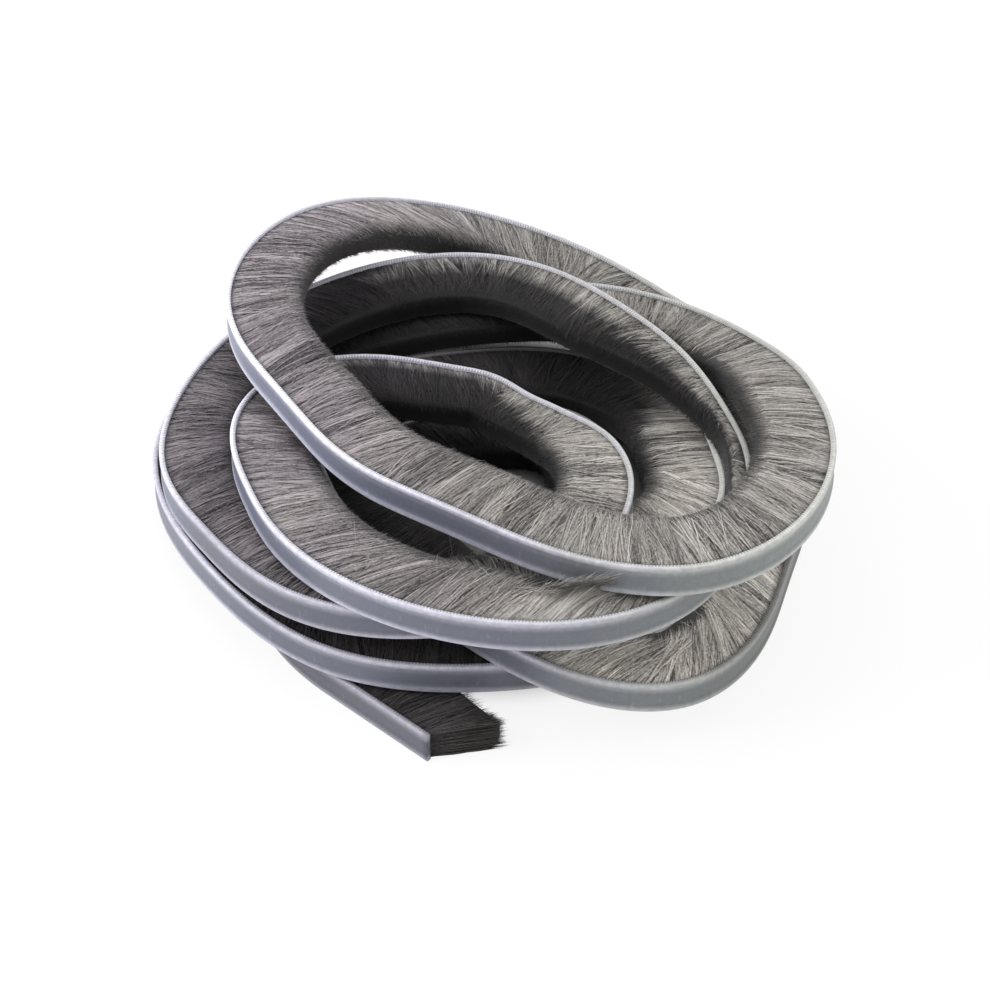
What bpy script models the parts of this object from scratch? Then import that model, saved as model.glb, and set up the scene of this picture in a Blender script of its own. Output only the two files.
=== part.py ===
"""Brush seal strip: a length of pile weather strip lying in a loose coil of about six turns.

The strip stands on edge. Its plastic backing faces outwards and its dense pile points in, towards
the coil's axis. The turns rest on each other, so each height below is counted in strip widths.
"""

import math

import bmesh
import bpy
import numpy as np

# Strip section, in metres. Depth runs inwards from the adhesive face, and up is along the width.
BACKING_WIDTH = 0.0090
BACKING_THICKNESS = 0.0015
BACKING_CHAMFER = 0.0004
RIM_WIDTH = 0.0012
RIM_HEIGHT = 0.0003
SEAM_GAP = 0.0003
PILE_LENGTH = 0.0202
PILE_ROOT_INSET = 0.0008
PILE_SIDE_INSET = 0.0001
PILE_TIP_ROUNDING = 0.0022
PILE_NECK = 0.3
TAIL_SWING = 0.55
TAIL_SWING_LENGTH = 0.0240

# Lay of the coil.
LAYER_GAP = 0.0005
STRAIGHT_END = 0.0360
SECTION_SPACING = 0.0105
STATIONS_PER_TURN = 12
FIRST_STATION = 1
CURVE_SAMPLES_PER_STATION = 24
TAIL_POINTS = 8

STRIP_DEPTH = BACKING_THICKNESS + SEAM_GAP + PILE_LENGTH
LAYER_PITCH = BACKING_WIDTH + LAYER_GAP

# One row for each turn, clockwise from the front. Each pair gives how far out the adhesive face lies
# from the coil's axis, in strip depths, and how high its lower edge lies, in layers.
LAY = (
    # Tail, then the small lowest turn.
    ((3.79, 0.0), (3.32, 0.0), (2.66, 0.0), (1.98, 0.0), (1.70, 0.0), (1.74, 0.0),
     (1.92, 0.0), (1.87, 0.0), (1.74, 0.0), (2.26, 0.0), (3.14, 0.1)),
    # Out to the widest turn, low at the back and climbing over the others on the right.
    ((3.68, 0.96), (3.91, 1.1), (3.93, 1.22), (4.19, 0.44), (4.49, 0.0), (4.04, 0.6),
     (3.85, 1.02), (4.14, 1.15), (4.18, 1.7), (4.03, 3.6), (4.55, 4.85), (4.62, 5.15)),
    # Top of the heap at the front and left, then down to the floor behind it.
    ((3.25, 5.05), (2.54, 4.65), (2.36, 4.3), (2.73, 4.2), (3.85, 4.0), (4.87, 3.3),
     (5.52, 1.0), (4.92, 0.0), (4.42, 0.0), (4.10, 0.6), (4.13, 1.15), (4.64, 1.2)),
    # Inner turn, down to the floor at the back and up again on the right.
    ((3.58, 1.9), (2.55, 2.0), (2.15, 1.75), (2.20, 1.5), (2.68, 1.1), (2.85, 0.3),
     (2.98, 0.0), (3.14, 0.0), (3.00, 0.4), (2.84, 1.5), (3.16, 2.25), (3.25, 2.75)),
    # Outer turn over the low one, crossing above it at the back.
    ((3.61, 3.0), (4.03, 2.95), (3.88, 2.3), (4.09, 1.5), (4.13, 1.6), (4.14, 1.75),
     (3.93, 2.0), (3.14, 2.45), (2.90, 2.5), (3.05, 2.55), (3.58, 3.6), (4.42, 4.0)),
    # Last turn, which closes in on the axis and ends under the top one.
    ((4.36, 4.05), (3.91, 4.02), (3.30, 3.3), (3.13, 2.7), (2.62, 2.4), (1.59, 2.3),
     (1.16, 2.25), (0.93, 2.2), (0.94, 2.3), (1.22, 2.55), (1.89, 3.2), (3.06, 3.85)),
)

# Where the pile is pushed back by a turn that lies against it: the middle and reach of the place, in
# stations from the first one, and the share of the pile's depth that is left there.
PRESSED = (
    (56.2, 2.4, 0.2),
    (57.6, 1.5, 0.3),
    (66.5, 4.5, 0.72),
)

BACKING_LOOK = {"color": (0.62, 0.63, 0.68, 1.0), "roughness": 0.35, "metallic": 0.0}
PILE_LOOK = {"color": (0.27, 0.26, 0.25, 1.0), "roughness": 0.95, "metallic": 0.0}


def clear_scene():
    for obj in list(bpy.data.objects):
        bpy.data.objects.remove(obj, do_unlink=True)


def make_collection(name):
    collection = bpy.data.collections.new(name)
    bpy.context.scene.collection.children.link(collection)
    return collection


def make_material(name, look):
    material = bpy.data.materials.new(name)
    material.use_nodes = True
    shader = material.node_tree.nodes["Principled BSDF"]
    shader.inputs["Base Color"].default_value = look["color"]
    shader.inputs["Roughness"].default_value = look["roughness"]
    shader.inputs["Metallic"].default_value = look["metallic"]
    material.diffuse_color = look["color"]
    return material


def smooth_through(values, positions):
    """Natural cubic spline through evenly spaced values, read at positions counted in stations."""
    values = np.asarray(values, float)
    count = len(values)
    system = np.eye(count)
    bends = np.zeros(count)
    for i in range(1, count - 1):
        system[i, i - 1:i + 2] = (1.0, 4.0, 1.0)
        bends[i] = 6.0 * (values[i - 1] - 2.0 * values[i] + values[i + 1])
    bends = np.linalg.solve(system, bends)
    low = np.clip(np.floor(positions).astype(int), 0, count - 2)
    after = positions - low
    before = 1.0 - after
    straight = before * values[low] + after * values[low + 1]
    curved = (before ** 3 - before) * bends[low] + (after ** 3 - after) * bends[low + 1]
    return straight + curved / 6.0


def coil_line():
    """Points along the lower edge of the adhesive face, evenly spaced, and their places in stations."""
    stations = [station for turn in LAY for station in turn]
    places = np.linspace(0.0, len(stations) - 1, CURVE_SAMPLES_PER_STATION * len(stations))
    reach = smooth_through([station[0] for station in stations], places) * STRIP_DEPTH
    height = smooth_through([station[1] for station in stations], places) * LAYER_PITCH
    angle = (places + FIRST_STATION) * 2.0 * math.pi / STATIONS_PER_TURN
    line = np.stack([-reach * np.sin(angle), -reach * np.cos(angle), np.maximum(height, 0.0)], axis=1)
    tail = straight_tail(line)
    line = np.vstack([tail, line])
    places = np.concatenate([np.zeros(len(tail)), places])
    return evenly_spaced(line, places)


def straight_tail(line):
    """The cut end lies straight on the floor, in line with the start of the coil."""
    heading = line[0] - line[1]
    heading[2] = 0.0
    heading /= np.linalg.norm(heading)
    steps = np.linspace(1.0, 0.0, TAIL_POINTS, endpoint=False)
    return line[0] + heading * STRAIGHT_END * steps[:, None]


def evenly_spaced(line, places):
    travelled = np.concatenate([[0.0], np.cumsum(np.linalg.norm(np.diff(line, axis=0), axis=1))])
    count = int(round(travelled[-1] / SECTION_SPACING)) + 1
    wanted = np.linspace(0.0, travelled[-1], count)
    points = np.stack([np.interp(wanted, travelled, line[:, axis]) for axis in range(3)], axis=1)
    return points, np.interp(wanted, travelled, places)


def section_frames(line):
    """At each point, the directions along the strip, into the coil and across the strip's width."""
    steps = np.diff(line, axis=0)
    steps /= np.linalg.norm(steps, axis=1)[:, None]
    along = np.vstack([steps[:1], steps[:-1] + steps[1:], steps[-1:]])
    along /= np.linalg.norm(along, axis=1)[:, None]
    inward = np.stack([along[:, 1], -along[:, 0], np.zeros(len(along))], axis=1)
    inward /= np.linalg.norm(inward, axis=1)[:, None]
    upward = np.cross(inward, along)
    return along, inward, upward


def backing_section():
    """Outline of the backing as (depth, height) pairs: a flat strip with a raised rim along both edges."""
    inner = BACKING_THICKNESS
    width = BACKING_WIDTH
    low_rim = (
        (BACKING_CHAMFER, 0.0),
        (0.0, BACKING_CHAMFER),
        (0.0, RIM_WIDTH),
        (RIM_HEIGHT, RIM_WIDTH + RIM_HEIGHT),
    )
    high_rim = tuple((depth, width - height) for depth, height in reversed(low_rim))
    return low_rim + high_rim + ((inner, width), (inner, 0.0))


def pile_share(place):
    """How much of the pile's depth is left at a place counted in stations."""
    left = 1.0
    for middle, reach, share in PRESSED:
        away = min(1.0, abs(place - middle) / reach)
        left *= share + (1.0 - share) * away * away * (3.0 - 2.0 * away)
    return left


def pile_section(length):
    """Outline of the pile as (depth, height) pairs: gathered at its root, full and rounded at its tips."""
    root = BACKING_THICKNESS + SEAM_GAP
    tip = root + length
    full = root + PILE_NECK * length
    lower = (
        (root, PILE_ROOT_INSET),
        (full, PILE_SIDE_INSET),
        (tip - PILE_TIP_ROUNDING, PILE_SIDE_INSET),
        (tip, PILE_SIDE_INSET + PILE_TIP_ROUNDING),
    )
    upper = tuple((depth, BACKING_WIDTH - height) for depth, height in reversed(lower))
    return lower + upper


def loft(name, sections, material, collection):
    """One closed solid through outlines that each have the same number of points."""
    mesh = bpy.data.meshes.new(name)
    shape = bmesh.new()
    rings = [[shape.verts.new(point) for point in section] for section in sections]
    sides = len(rings[0])
    for ring, following in zip(rings, rings[1:]):
        for k in range(sides):
            after = (k + 1) % sides
            shape.faces.new((ring[k], ring[after], following[after], following[k]))
    shape.faces.new(tuple(reversed(rings[0])))
    shape.faces.new(tuple(rings[-1]))
    bmesh.ops.recalc_face_normals(shape, faces=shape.faces)
    shape.to_mesh(mesh)
    shape.free()
    mesh.materials.append(material)
    obj = bpy.data.objects.new(name, mesh)
    collection.objects.link(obj)
    return obj


def placed(outline, point, inward, upward):
    return [point + depth * inward + height * upward for depth, height in outline]


def tail_swing(distance):
    """How far the fibres lean out past the cut tail, over their length, fading out along the strip."""
    fade = max(0.0, 1.0 - distance / TAIL_SWING_LENGTH)
    return TAIL_SWING * fade * fade


def swung(ring, root, along, inward, swing):
    """A pile section whose tips lean back towards the tail while its roots stay where they are."""
    return [point - along * swing * np.dot(point - root, inward) for point in ring]


def build():
    clear_scene()
    strip = make_collection("brush_seal_strip")
    line, places = coil_line()
    along, inward, upward = section_frames(line)
    travelled = np.arange(len(line)) * np.linalg.norm(line[1] - line[0])
    backing_rings = []
    pile_rings = []
    for i, point in enumerate(line):
        backing_rings.append(placed(backing_section(), point, inward[i], upward[i]))
        root = point + (BACKING_THICKNESS + SEAM_GAP) * inward[i]
        section = pile_section(PILE_LENGTH * pile_share(places[i]))
        pile_ring = placed(section, point, inward[i], upward[i])
        pile_rings.append(swung(pile_ring, root, along[i], inward[i], tail_swing(travelled[i])))
    corners = np.array([point for ring in backing_rings + pile_rings for point in ring])
    middle = (corners.min(axis=0) + corners.max(axis=0)) / 2.0
    footing = np.array((middle[0], middle[1], corners[:, 2].min()))
    backing_rings = [np.array(ring) - footing for ring in backing_rings]
    pile_rings = [np.array(ring) - footing for ring in pile_rings]
    loft("backing_tape", backing_rings, make_material("backing_plastic", BACKING_LOOK), strip)
    loft("pile", pile_rings, make_material("pile_fibre", PILE_LOOK), strip)


build()
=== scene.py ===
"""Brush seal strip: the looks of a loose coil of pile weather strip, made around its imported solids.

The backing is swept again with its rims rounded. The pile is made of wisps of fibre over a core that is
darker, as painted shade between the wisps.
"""

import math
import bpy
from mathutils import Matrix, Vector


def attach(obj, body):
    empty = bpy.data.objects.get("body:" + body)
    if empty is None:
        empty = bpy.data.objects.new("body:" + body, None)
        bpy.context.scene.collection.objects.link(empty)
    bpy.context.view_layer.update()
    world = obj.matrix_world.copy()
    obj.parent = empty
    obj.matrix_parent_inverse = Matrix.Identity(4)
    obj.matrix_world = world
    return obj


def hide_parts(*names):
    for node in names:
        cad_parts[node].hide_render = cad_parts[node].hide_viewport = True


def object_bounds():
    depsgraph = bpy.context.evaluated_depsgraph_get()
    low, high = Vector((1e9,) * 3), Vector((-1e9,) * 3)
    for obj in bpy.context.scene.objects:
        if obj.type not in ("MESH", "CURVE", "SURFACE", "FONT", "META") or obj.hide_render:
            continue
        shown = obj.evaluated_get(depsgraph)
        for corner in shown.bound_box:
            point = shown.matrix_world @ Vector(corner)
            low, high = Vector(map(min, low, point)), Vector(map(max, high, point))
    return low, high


bl_info = {
    "name": "Brush Seal Strip",
    "version": (1, 0, 0),
    "blender": (4, 5, 0),
    "location": "3D View > Sidebar > Brush Seal",
    "description": "Makes the backing, pile and studio of a coil of brush seal strip",
    "category": "Object",
}

import bpy
import numpy as np
from bpy.props import FloatProperty, FloatVectorProperty, IntProperty, PointerProperty
from bpy.types import Operator, Panel, PropertyGroup
from mathutils import Vector

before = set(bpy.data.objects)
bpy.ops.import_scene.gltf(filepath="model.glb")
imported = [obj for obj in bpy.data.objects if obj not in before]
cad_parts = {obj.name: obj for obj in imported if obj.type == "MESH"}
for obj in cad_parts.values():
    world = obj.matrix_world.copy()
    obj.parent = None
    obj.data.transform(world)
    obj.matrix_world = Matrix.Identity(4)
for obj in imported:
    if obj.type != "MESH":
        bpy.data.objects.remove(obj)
CAD_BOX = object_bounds()

# How the strip lies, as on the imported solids: (reach from the axis in strip depths, height in layers).
BACKING_WIDTH = 0.0090
BACKING_THICKNESS = 0.0015
STRIP_DEPTH = 0.0220
LAYER_PITCH = 0.0095
STRAIGHT_END = 0.0360
STATIONS_PER_TURN = 12
FIRST_STATION = 1
LAY = (
    ((3.79, 0.0), (3.32, 0.0), (2.66, 0.0), (1.98, 0.0), (1.70, 0.0), (1.74, 0.0),
     (1.92, 0.0), (1.87, 0.0), (1.74, 0.0), (2.26, 0.0), (3.14, 0.1)),
    ((3.68, 0.96), (3.91, 1.1), (3.93, 1.22), (4.19, 0.44), (4.49, 0.0), (4.04, 0.6),
     (3.85, 1.02), (4.14, 1.15), (4.18, 1.7), (4.03, 3.6), (4.55, 4.85), (4.62, 5.15)),
    ((3.25, 5.05), (2.54, 4.65), (2.36, 4.3), (2.73, 4.2), (3.85, 4.0), (4.87, 3.3),
     (5.52, 1.0), (4.92, 0.0), (4.42, 0.0), (4.10, 0.6), (4.13, 1.15), (4.64, 1.2)),
    ((3.58, 1.9), (2.55, 2.0), (2.15, 1.75), (2.20, 1.5), (2.68, 1.1), (2.85, 0.3),
     (2.98, 0.0), (3.14, 0.0), (3.00, 0.4), (2.84, 1.5), (3.16, 2.25), (3.25, 2.75)),
    ((3.61, 3.0), (4.03, 2.95), (3.88, 2.3), (4.09, 1.5), (4.13, 1.6), (4.14, 1.75),
     (3.93, 2.0), (3.14, 2.45), (2.90, 2.5), (3.05, 2.55), (3.58, 3.6), (4.42, 4.0)),
    ((4.36, 4.05), (3.91, 4.02), (3.30, 3.3), (3.13, 2.7), (2.62, 2.4), (1.59, 2.3),
     (1.16, 2.25), (0.93, 2.2), (0.94, 2.3), (1.22, 2.55), (1.89, 3.2), (3.06, 3.85)),
)
CURVE_SAMPLES_PER_STATION = 48
TAIL_POINTS = 16

# Millimetres in a metre, where wisps are counted to the millimetre.
MILLIMETRES = 1000.0

# Where the pile is pushed back by a turn that lies against it: the middle and reach of the place, in
# stations from the first one, and the share of the pile's depth that is left there.
PRESSED = (
    (56.2, 2.4, 0.2),
    (57.6, 1.5, 0.3),
    (66.5, 4.5, 0.72),
)

# How the light reaches the pile: place in stations from the first one, the least and the most light
# there, and the share of the pile's depth that is lit before its tips fall into the dark.
PILE_LIGHT = (
    (0.0, 0.11, 0.11, 1.1), (1.5, 0.11, 0.11, 1.1), (3.0, 0.06, 0.1, 1.1), (4.8, 0.06, 0.1, 1.1),
    (5.8, 0.5, 0.8, 0.75), (7.6, 0.5, 0.8, 0.7), (8.6, 0.06, 0.1, 1.1), (9.8, 0.06, 0.1, 1.1),
    (10.5, 0.1, 0.1, 0.9), (14.0, 0.1, 0.15, 0.9), (15.5, 0.0, 0.3, 0.5), (17.8, 0.0, 1.0, 0.6),
    (19.0, 0.0, 1.0, 0.78), (21.0, 0.0, 1.1, 0.88), (21.6, 1.0, 1.12, 1.0), (23.0, 0.76, 0.86, 1.05),
    (24.0, 0.76, 0.84, 1.05), (25.0, 1.0, 1.25, 1.05), (28.0, 1.25, 1.55, 1.05), (29.5, 0.3, 1.1, 0.85),
    (30.5, 1.1, 1.4, 0.82), (31.5, 1.3, 1.6, 0.8), (32.6, 2.2, 2.4, 0.95), (34.9, 2.2, 2.4, 1.0),
    (35.7, 0.08, 0.12, 0.9), (38.5, 0.0, 0.12, 0.7), (39.5, 0.0, 0.4, 0.05), (42.3, 0.0, 0.4, 0.05),
    (43.6, 1.1, 1.5, 0.72), (44.5, 1.6, 1.9, 0.85), (46.0, 1.7, 1.9, 0.95), (47.5, 0.35, 0.6, 0.95),
    (49.0, 0.42, 0.64, 0.95), (51.0, 0.38, 0.64, 0.88), (51.8, 0.08, 0.5, 0.3), (53.0, 0.0, 1.0, 0.2),
    (54.2, 0.0, 1.0, 0.38), (55.5, 0.0, 1.0, 0.58), (56.5, 0.0, 1.0, 0.7), (58.0, 0.85, 0.95, 1.05),
    (60.5, 0.85, 0.95, 1.0), (61.5, 0.5, 0.9, 1.0), (62.0, 0.5, 0.9, 1.0), (63.3, 0.0, 1.0, 0.06),
    (64.5, 0.0, 1.0, 0.1), (65.5, 0.0, 1.0, 0.24), (66.5, 0.0, 1.05, 0.44), (67.5, 0.8, 1.2, 0.62),
    (69.0, 1.15, 1.35, 0.88), (71.0, 1.25, 1.4, 1.05),
)

# How well the backing is lit at places counted in stations: 0 is dark, and 1 is its plain colour.
TAPE_LIGHT = (
    (0.0, 0.65), (2.0, 0.65), (3.5, 0.2), (5.5, 0.2), (6.5, 0.5), (8.0, 0.5), (9.5, 0.25), (11.0, 0.85),
    (13.0, 1.15), (15.0, 1.15), (17.0, 0.9), (20.5, 1.1), (21.5, 1.15), (22.0, 1.0), (22.5, 0.85),
    (23.2, 0.95), (24.0, 1.25), (25.0, 1.7), (27.0, 1.8), (28.0, 1.4), (29.5, 1.0), (31.3, 1.0),
    (32.5, 0.35), (33.4, 0.5), (34.2, 0.95), (38.5, 0.8), (39.5, 0.12), (42.6, 0.12), (43.3, 1.5),
    (46.0, 1.5), (48.0, 0.85), (49.0, 0.85), (49.5, 1.3), (51.0, 1.35), (52.0, 1.0), (58.5, 0.95),
    (60.0, 1.15), (61.0, 1.45), (62.5, 1.55), (63.0, 1.0), (63.5, 1.0), (71.0, 1.0),
)

# How far the fibres are combed along the strip, over their length, at places counted in stations.
COMBED = (
    (0.0, 0.12), (31.0, 0.12), (32.3, -0.55), (35.0, -0.65), (36.0, 0.12), (57.0, 0.10), (58.3, -0.40),
    (61.0, -0.45), (62.3, 0.12), (71.0, 0.12),
)

# Share of the sky at which fibre starts to lighten, the share more that lights it in full, and how
# softly the tips fall into the dark, as a share of the pile's depth.
DIM_SKY = 0.30
SKY_SPAN = 0.45
TIP_FADE = 0.20

# Where the painted tints of the light turn, from the coil's axis to the right, and how softly:
# greener, lighter light on the plastic on the right, and lilac light over the fibre on the left.
GREEN_LIGHT_TINT_EDGE = (0.030, 0.040)
LILAC_LIGHT_TINT_EDGE = (-0.02, 0.05)

# Where each part starts, and how softly: over the backing's width for the painted highlights on its
# top and foot rims and for the ticks, through its thickness for the ticks, and from the fibres' roots
# to their tips for the painted shade at the roots.
TOP_HIGHLIGHT = (0.84, 0.24)
FOOT_HIGHLIGHT = (0.14, 0.09)
TICKED_EDGE = (0.96, 0.02)
TICKED_SKIN = (0.00080, 0.0002)
SHADED_ROOTS = (0.04, 0.05)

# How fine each pattern is, as a noise scale, and how strongly it shows.
CLOUD_SCALE = 0.06
CREASE_SCALE = 0.9
MOTTLE_SCALE = 700.0
PATCH_SCALE = 30.0
FLECK_SCALE = 1500.0
CLOUD_SHOWN = 0.25
CREASE_SHOWN = 0.12
MOTTLE_SHOWN = 0.25
PATCH_SHOWN = 0.35
FLECK_SHOWN = 0.9
# How strongly the painted highlight on the foot rim shows.
FOOT_HIGHLIGHT_SHOWN = 0.70
TICK_SHOWN = 0.85
# How strongly the painted shade at the fibres' roots shows.
ROOT_SHADE_SHOWN = 0.5

# How unevenly clumps of fibre are spaced, over their width, and how far a wisp is rolled, in radians.
CLUMP_JITTER = 0.45
WISP_ROLL = 0.8


def smooth_step(values):
    values = np.clip(values, 0.0, 1.0)
    return values * values * (3.0 - 2.0 * values)


def smooth_through(values, positions):
    """Natural cubic spline through evenly spaced values, read at positions counted in stations."""
    values = np.asarray(values, float)
    count = len(values)
    system = np.eye(count)
    bends = np.zeros(count)
    for i in range(1, count - 1):
        system[i, i - 1:i + 2] = (1.0, 4.0, 1.0)
        bends[i] = 6.0 * (values[i - 1] - 2.0 * values[i] + values[i + 1])
    bends = np.linalg.solve(system, bends)
    low = np.clip(np.floor(positions).astype(int), 0, count - 2)
    after = positions - low
    before = 1.0 - after
    straight = before * values[low] + after * values[low + 1]
    curved = (before ** 3 - before) * bends[low] + (after ** 3 - after) * bends[low + 1]
    return straight + curved / 6.0


def unit(vectors):
    return vectors / np.linalg.norm(vectors, axis=-1, keepdims=True)


class StripLine:
    """The lower edge of the adhesive face, read at any distance from the cut tail."""

    STEP = 0.001

    def __init__(self):
        line, places = self.travel()
        gone = np.concatenate([[0.0], np.cumsum(np.linalg.norm(np.diff(line, axis=0), axis=1))])
        self.length = gone[-1]
        self.marks = np.linspace(0.0, self.length, int(self.length / self.STEP) + 1)
        self.points = np.stack([np.interp(self.marks, gone, line[:, k]) for k in range(3)], axis=1)
        self.places = np.interp(self.marks, gone, places)
        self.share = self.pile_share(self.places)
        steps = unit(np.diff(self.points, axis=0))
        self.along = unit(np.vstack([steps[:1], steps[:-1] + steps[1:], steps[-1:]]))
        flat = np.stack([self.along[:, 1], -self.along[:, 0], np.zeros(len(self.along))], axis=1)
        self.inward = unit(flat)
        self.upward = np.cross(self.inward, self.along)
        self.footing = self.find_footing()
        self.points = self.points - self.footing

    def travel(self):
        stations = [station for turn in LAY for station in turn]
        places = np.linspace(0.0, len(stations) - 1, CURVE_SAMPLES_PER_STATION * len(stations))
        reach = smooth_through([station[0] for station in stations], places) * STRIP_DEPTH
        height = smooth_through([station[1] for station in stations], places) * LAYER_PITCH
        angle = (places + FIRST_STATION) * 2.0 * math.pi / STATIONS_PER_TURN
        height = np.maximum(height, 0.0)
        coil = np.stack([-reach * np.sin(angle), -reach * np.cos(angle), height], axis=1)
        heading = coil[0] - coil[1]
        heading[2] = 0.0
        steps = np.linspace(1.0, 0.0, TAIL_POINTS, endpoint=False)
        tail = coil[0] + unit(heading) * STRAIGHT_END * steps[:, None]
        return np.vstack([tail, coil]), np.concatenate([np.zeros(TAIL_POINTS), places])

    def pile_share(self, places):
        """How much of the pile's depth is left at places counted in stations."""
        left = np.ones(len(places))
        for middle, reach, share in PRESSED:
            left *= share + (1.0 - share) * smooth_step(np.abs(places - middle) / reach)
        return left

    def find_footing(self):
        """What moves the middle of the coil's outline to the middle of the solids' box."""
        low, high = (np.array(corner) for corner in CAD_BOX)
        corners = [self.points + depth * self.inward + height * self.upward
                   for depth in (0.0, STRIP_DEPTH) for height in (0.0, BACKING_WIDTH)]
        corners = np.concatenate(corners)
        middle = (corners.min(axis=0) + corners.max(axis=0)) / 2.0
        wanted = (low + high) / 2.0
        return np.array((middle[0] - wanted[0], middle[1] - wanted[1], corners[:, 2].min() - low[2]))

    def read(self, table, distance):
        """Points or directions of the line, read at distances from the cut tail."""
        return np.stack([np.interp(distance, self.marks, table[:, k]) for k in range(3)], axis=-1)

    def place(self, distance, offset, depth, height):
        """World points: offset runs along the strip, depth into the coil, height across the width."""
        origin = self.read(self.points, distance)
        along = unit(self.read(self.along, distance))
        inward = unit(self.read(self.inward, distance))
        upward = unit(self.read(self.upward, distance))
        share = np.interp(distance, self.marks, self.share)
        pile = np.maximum(depth - BACKING_THICKNESS, 0.0)
        depth = depth - pile * (1.0 - share)
        along = along * offset[..., None]
        return origin + along + inward * depth[..., None] + upward * height[..., None]


LINE = StripLine()


class HeapTop:
    """How high the coil stands over each spot of the floor, to tell how much sky a fibre sees."""

    CELL = 0.0015
    MARGIN = 0.060
    REACHES = (0.004, 0.008, 0.013, 0.020, 0.030, 0.045)
    DIRECTIONS = 12
    CLEARANCE = 0.005

    def __init__(self, line):
        low, high = (np.array(corner[:2]) for corner in CAD_BOX)
        self.corner = low - self.MARGIN
        across = np.ceil((high - low + 2.0 * self.MARGIN) / self.CELL).astype(int) + 1
        self.height = np.zeros(across)
        for depth in np.arange(0.0, STRIP_DEPTH, self.CELL / 2.0):
            flat = np.zeros(len(line.marks))
            top = line.place(line.marks, flat, flat + depth, flat + BACKING_WIDTH)
            cell = self.cells(top)
            np.maximum.at(self.height, cell, top[:, 2])

    def cells(self, points):
        """Row and column of the floor's cell under each point."""
        cell = np.round((points[..., :2] - self.corner) / self.CELL).astype(int)
        limit = np.array(self.height.shape) - 1
        cell = np.clip(cell, 0, limit)
        return cell[..., 0], cell[..., 1]

    def sky(self, points):
        """Share of the sky seen from each point, from 0 under another turn to 1 in the open."""
        seen = np.zeros(points.shape[:-1])
        for turn in np.arange(self.DIRECTIONS) * 2.0 * math.pi / self.DIRECTIONS:
            way = np.array((math.cos(turn), math.sin(turn), 0.0))
            steepest = np.zeros(seen.shape)
            for reach in self.REACHES:
                rise = self.height[self.cells(points + way * reach)] - points[..., 2]
                steepest = np.maximum(steepest, rise / reach)
            seen += 1.0 / (1.0 + steepest ** 2)
        above = self.height[self.cells(points)] - points[..., 2]
        covered = np.clip((above - self.CLEARANCE) / self.CLEARANCE, 0.0, 1.0)
        return seen / self.DIRECTIONS * (1.0 - covered)


HEAP = HeapTop(LINE)


def at_stations(table, distance):
    """Columns of a table, after its places in stations, read at distances from the cut tail."""
    place = np.interp(distance, LINE.marks, LINE.places)
    row, *columns = np.array(table).T
    return [np.interp(place, row, column) for column in columns]


def pile_light(distance, runs, points, ragged=0.0):
    """How well the pile is lit, from 0 deep between the turns to 1 in the open."""
    least, most, share = at_stations(PILE_LIGHT, distance)
    from_sky = smooth_step((HEAP.sky(points) - DIM_SKY) / SKY_SPAN)
    lit = smooth_step((share + ragged - runs) / TIP_FADE + 0.5)
    return np.clip(from_sky, least, most) * lit


def tape_light(distance, depths, points):
    """How well the backing is lit, which depends on its place along the strip alone."""
    return at_stations(TAPE_LIGHT, distance)[0]


def wander(random, positions, most, wavelength):
    """Smooth random values, up to the most either way, that change over one wavelength."""
    count = int(np.max(positions) / wavelength) + 3
    knots = random.uniform(-1.0, 1.0, count)
    place = np.maximum(positions, 0.0) / wavelength
    low = np.floor(place).astype(int)
    after = smooth_step(place - low)
    return most * (knots[low] * (1.0 - after) + knots[low + 1] * after)


def scattered(random, per_mm):
    """Distances from the cut tail, in order, so many to the millimetre."""
    count = int(LINE.length * MILLIMETRES * per_mm)
    return np.sort(random.uniform(0.0, LINE.length, count))


def tones_round(random, count, middle, spread):
    """A tone for each wisp, from 0 for dark fibre to 1 for the lightest."""
    return np.clip(middle + random.normal(0.0, spread, count), 0.0, 1.0)


def mesh_object(name, points, faces, material, attributes):
    """An object from an array of points and an array of triangles or quads, smooth shaded."""
    mesh = bpy.data.meshes.new(name)
    faces = np.asarray(faces, np.int32)
    mesh.vertices.add(len(points))
    mesh.vertices.foreach_set("co", np.asarray(points, np.float32).ravel())
    mesh.loops.add(faces.size)
    mesh.loops.foreach_set("vertex_index", faces.ravel())
    mesh.polygons.add(len(faces))
    mesh.polygons.foreach_set("loop_start", np.arange(len(faces), dtype=np.int32) * faces.shape[1])
    for label, values in attributes.items():
        layer = mesh.attributes.new(label, "FLOAT", "POINT")
        layer.data.foreach_set("value", np.asarray(values, np.float32))
    mesh.update(calc_edges=True)
    mesh.validate()
    mesh.shade_smooth()
    mesh.materials.append(material)
    made = bpy.data.objects.new(name, mesh)
    bpy.context.scene.collection.objects.link(made)
    return made


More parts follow.
